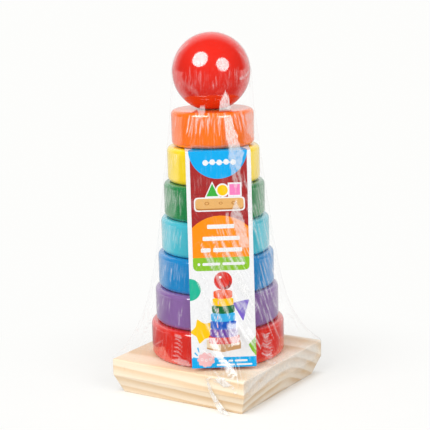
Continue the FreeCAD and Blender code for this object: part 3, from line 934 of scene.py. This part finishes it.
# seen edge on, even smooth film whitens a little
slant = clear_film.node("LayerWeight").outputs["Facing"]
glancing = clear_film.math("MULTIPLY", clear_film.math("POWER", slant, 5.0), 0.16)
amount = clear_film.math("ADD", clear_film.math("MAXIMUM", fine, milk_and_glare), glancing)
amount = clear_film.math("MULTIPLY", clear_film.math("ADD", amount, LEAST_WHITE), OPACITY)
amount = clear_film.math("MINIMUM", amount, MOST_WHITE)
clear = clear_film.node("BsdfTransparent")
blend = clear_film.node("MixShader", amount, clear.outputs[0], clear_film.shader.outputs[0])
clear_film.surface(blend.outputs[0])
relief = clear_film.math("ADD", threads, clear_film.math("MULTIPLY", grit, 0.5))
clear_film.bump(relief, 0.3 * MM, 0.6)
# the white emission is a painted glow: the film lights itself a little, so it stays whitish where
# it mirrors the dark room
clear_film.set(base_color=(0.82, 0.82, 0.81, 1), metallic=0.05, roughness=0.18,
               emission_color=(1, 1, 1, 1), emission_strength=0.12)

film = new_object("shrink_film_sleeve", film_mesh, clear_film.owner)
film_tail = new_object("shrink_film_tail", tail_mesh, clear_film.owner)
for sheet in (film, film_tail):
    wall = sheet.modifiers.new("wall", "SOLIDIFY")
    wall.thickness = FILM_THICKNESS * MM
    wall.offset = -1
    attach(sheet, "shrink_film")
    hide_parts("shrink_film")

# ------------------------------------------------------------------ the studio
# A white table with a round softbox either side of the camera, which looks down a little at the
# stack over its front corner. Nothing here is part of the toy.
AZIMUTH, ELEVATION, DISTANCE = math.radians(33.0), math.radians(12.48), 0.8679
PITCH, ROLL = math.radians(-11.62), math.radians(-1.52)
LENS = 112.1
ORBIT_HEIGHT = 0.1                   # the height that the camera's elevation is counted from
LIT_HEIGHT = 0.12                    # the height that the softboxes look at
FLOOR_REACH = 20
floor_mesh = bpy.data.meshes.new("floor")
floor_corners = [(x * FLOOR_REACH, y * FLOOR_REACH, 0)
                 for x, y in ((-1, -1), (1, -1), (1, 1), (-1, 1))]
floor_mesh.from_pydata(floor_corners, [], [(0, 1, 2, 3)])
table_white = Recipe("white_table").set(base_color=(0.82, 0.81, 0.79, 1), roughness=0.8)
away = table_white.node("VectorMath", table_white.place(), operation="LENGTH").outputs["Value"]
seen_directly = table_white.node("LightPath").outputs["Is Camera Ray"]
glow = table_white.node("Emission", (0.985, 0.985, 0.97, 1),
                        table_white.between(seen_directly, 0, 1, 0.75, 1.0))
# the table is lit evenly, but for a soft shade round the board and a dark line along its foot
ground = table_white.node("SeparateXYZ", table_white.place()).outputs
off_centre = table_white.math("MAXIMUM", table_white.math("ABSOLUTE", ground[0]),
                              table_white.math("ABSOLUTE", ground[1]))
evenness = table_white.math("ADD", table_white.between(off_centre, 0.046, 0.054, 0, 0.55),
                            table_white.between(away, 0.06, 0.2, 0, 0.45))
sweep = table_white.node("MixShader", evenness, table_white.shader.outputs[0], glow.outputs[0])
# the room behind the lights is dark, so gloss sees little of the table's near end
shade = table_white.node("Emission", (1, 1, 1, 1), 0.08)
towards_camera = (math.sin(AZIMUTH), -math.cos(AZIMUTH), 0)
front = table_white.node("VectorMath", table_white.place(), towards_camera,
                         operation="DOT_PRODUCT").outputs["Value"]
mirrored = table_white.math("MULTIPLY", table_white.node("LightPath").outputs["Is Glossy Ray"],
                            table_white.between(front, -0.2, 0.0))
ending = table_white.node("MixShader", mirrored, sweep.outputs[0], shade.outputs[0])
table_white.surface(ending.outputs[0])
floor = new_object("floor", floor_mesh, table_white.owner)

camera = bpy.data.objects.new("camera", bpy.data.cameras.new("camera"))
bpy.context.scene.collection.objects.link(camera)
bpy.context.scene.camera = camera
camera.data.lens = LENS
camera.location = (math.sin(AZIMUTH) * math.cos(ELEVATION) * DISTANCE,
                   -math.cos(AZIMUTH) * math.cos(ELEVATION) * DISTANCE,
                   math.sin(ELEVATION) * DISTANCE + ORBIT_HEIGHT)
aim = Vector((-math.sin(AZIMUTH) * math.cos(PITCH), math.cos(AZIMUTH) * math.cos(PITCH),
              math.sin(PITCH)))
camera.rotation_mode = "QUATERNION"
camera.rotation_quaternion = aim.to_track_quat("-Z", "Y") @ Quaternion((0, 0, 1), ROLL)

sky = Recipe("studio", bpy.data.worlds, "Background")
bpy.context.scene.world = sky.owner
direction = sky.node("TexCoord").outputs["Generated"]
paths = sky.node("LightPath").outputs


def towards(way):
    """How far a ray heads that way: 1 straight along it, and -1 straight back."""
    return sky.node("VectorMath", direction, way, operation="DOT_PRODUCT").outputs["Value"]


# gloss sees a bright backdrop and a dark room; everything else gets an even fill
backdrop = sky.node("MapRange", towards((-math.sin(AZIMUTH), math.cos(AZIMUTH), 0)),
                    0.3, 0.85, 0.05, 0.9)
overhead = sky.node("MapRange", towards((0, 0, 1)), 0, 1, 0.32, 0.80)
mirrored_room = sky.math("MULTIPLY", backdrop.outputs[0], paths["Is Glossy Ray"])
fill = sky.math("MULTIPLY", overhead.outputs[0], paths["Is Diffuse Ray"])
seen = sky.math("MAXIMUM", sky.math("MAXIMUM", mirrored_room, fill), paths["Is Camera Ray"])
sky.set(strength=seen, color=(1, 1, 1, 1))


def softbox(name, azimuth, elevation, distance, size, power):
    """A round light that looks at the middle of the stack."""
    light = bpy.data.lights.new(name, "AREA")
    light.shape = "DISK"
    light.size = size
    light.energy = power
    lamp = bpy.data.objects.new(name, light)
    bpy.context.scene.collection.objects.link(lamp)
    turn, rise = math.radians(azimuth), math.radians(elevation)
    outwards = Vector((math.sin(turn) * math.cos(rise), -math.cos(turn) * math.cos(rise),
                       math.sin(rise)))
    lamp.location = outwards * distance + Vector((0, 0, LIT_HEIGHT))
    lamp.rotation_mode = "QUATERNION"
    lamp.rotation_quaternion = outwards.to_track_quat("Z", "Y")


softbox("softbox_left", azimuth=-7, elevation=40, distance=2.4, size=1.85, power=45)
softbox("softbox_right", azimuth=70, elevation=24, distance=2.4, size=1.6, power=29)
bpy.context.scene.view_settings.view_transform = "Standard"
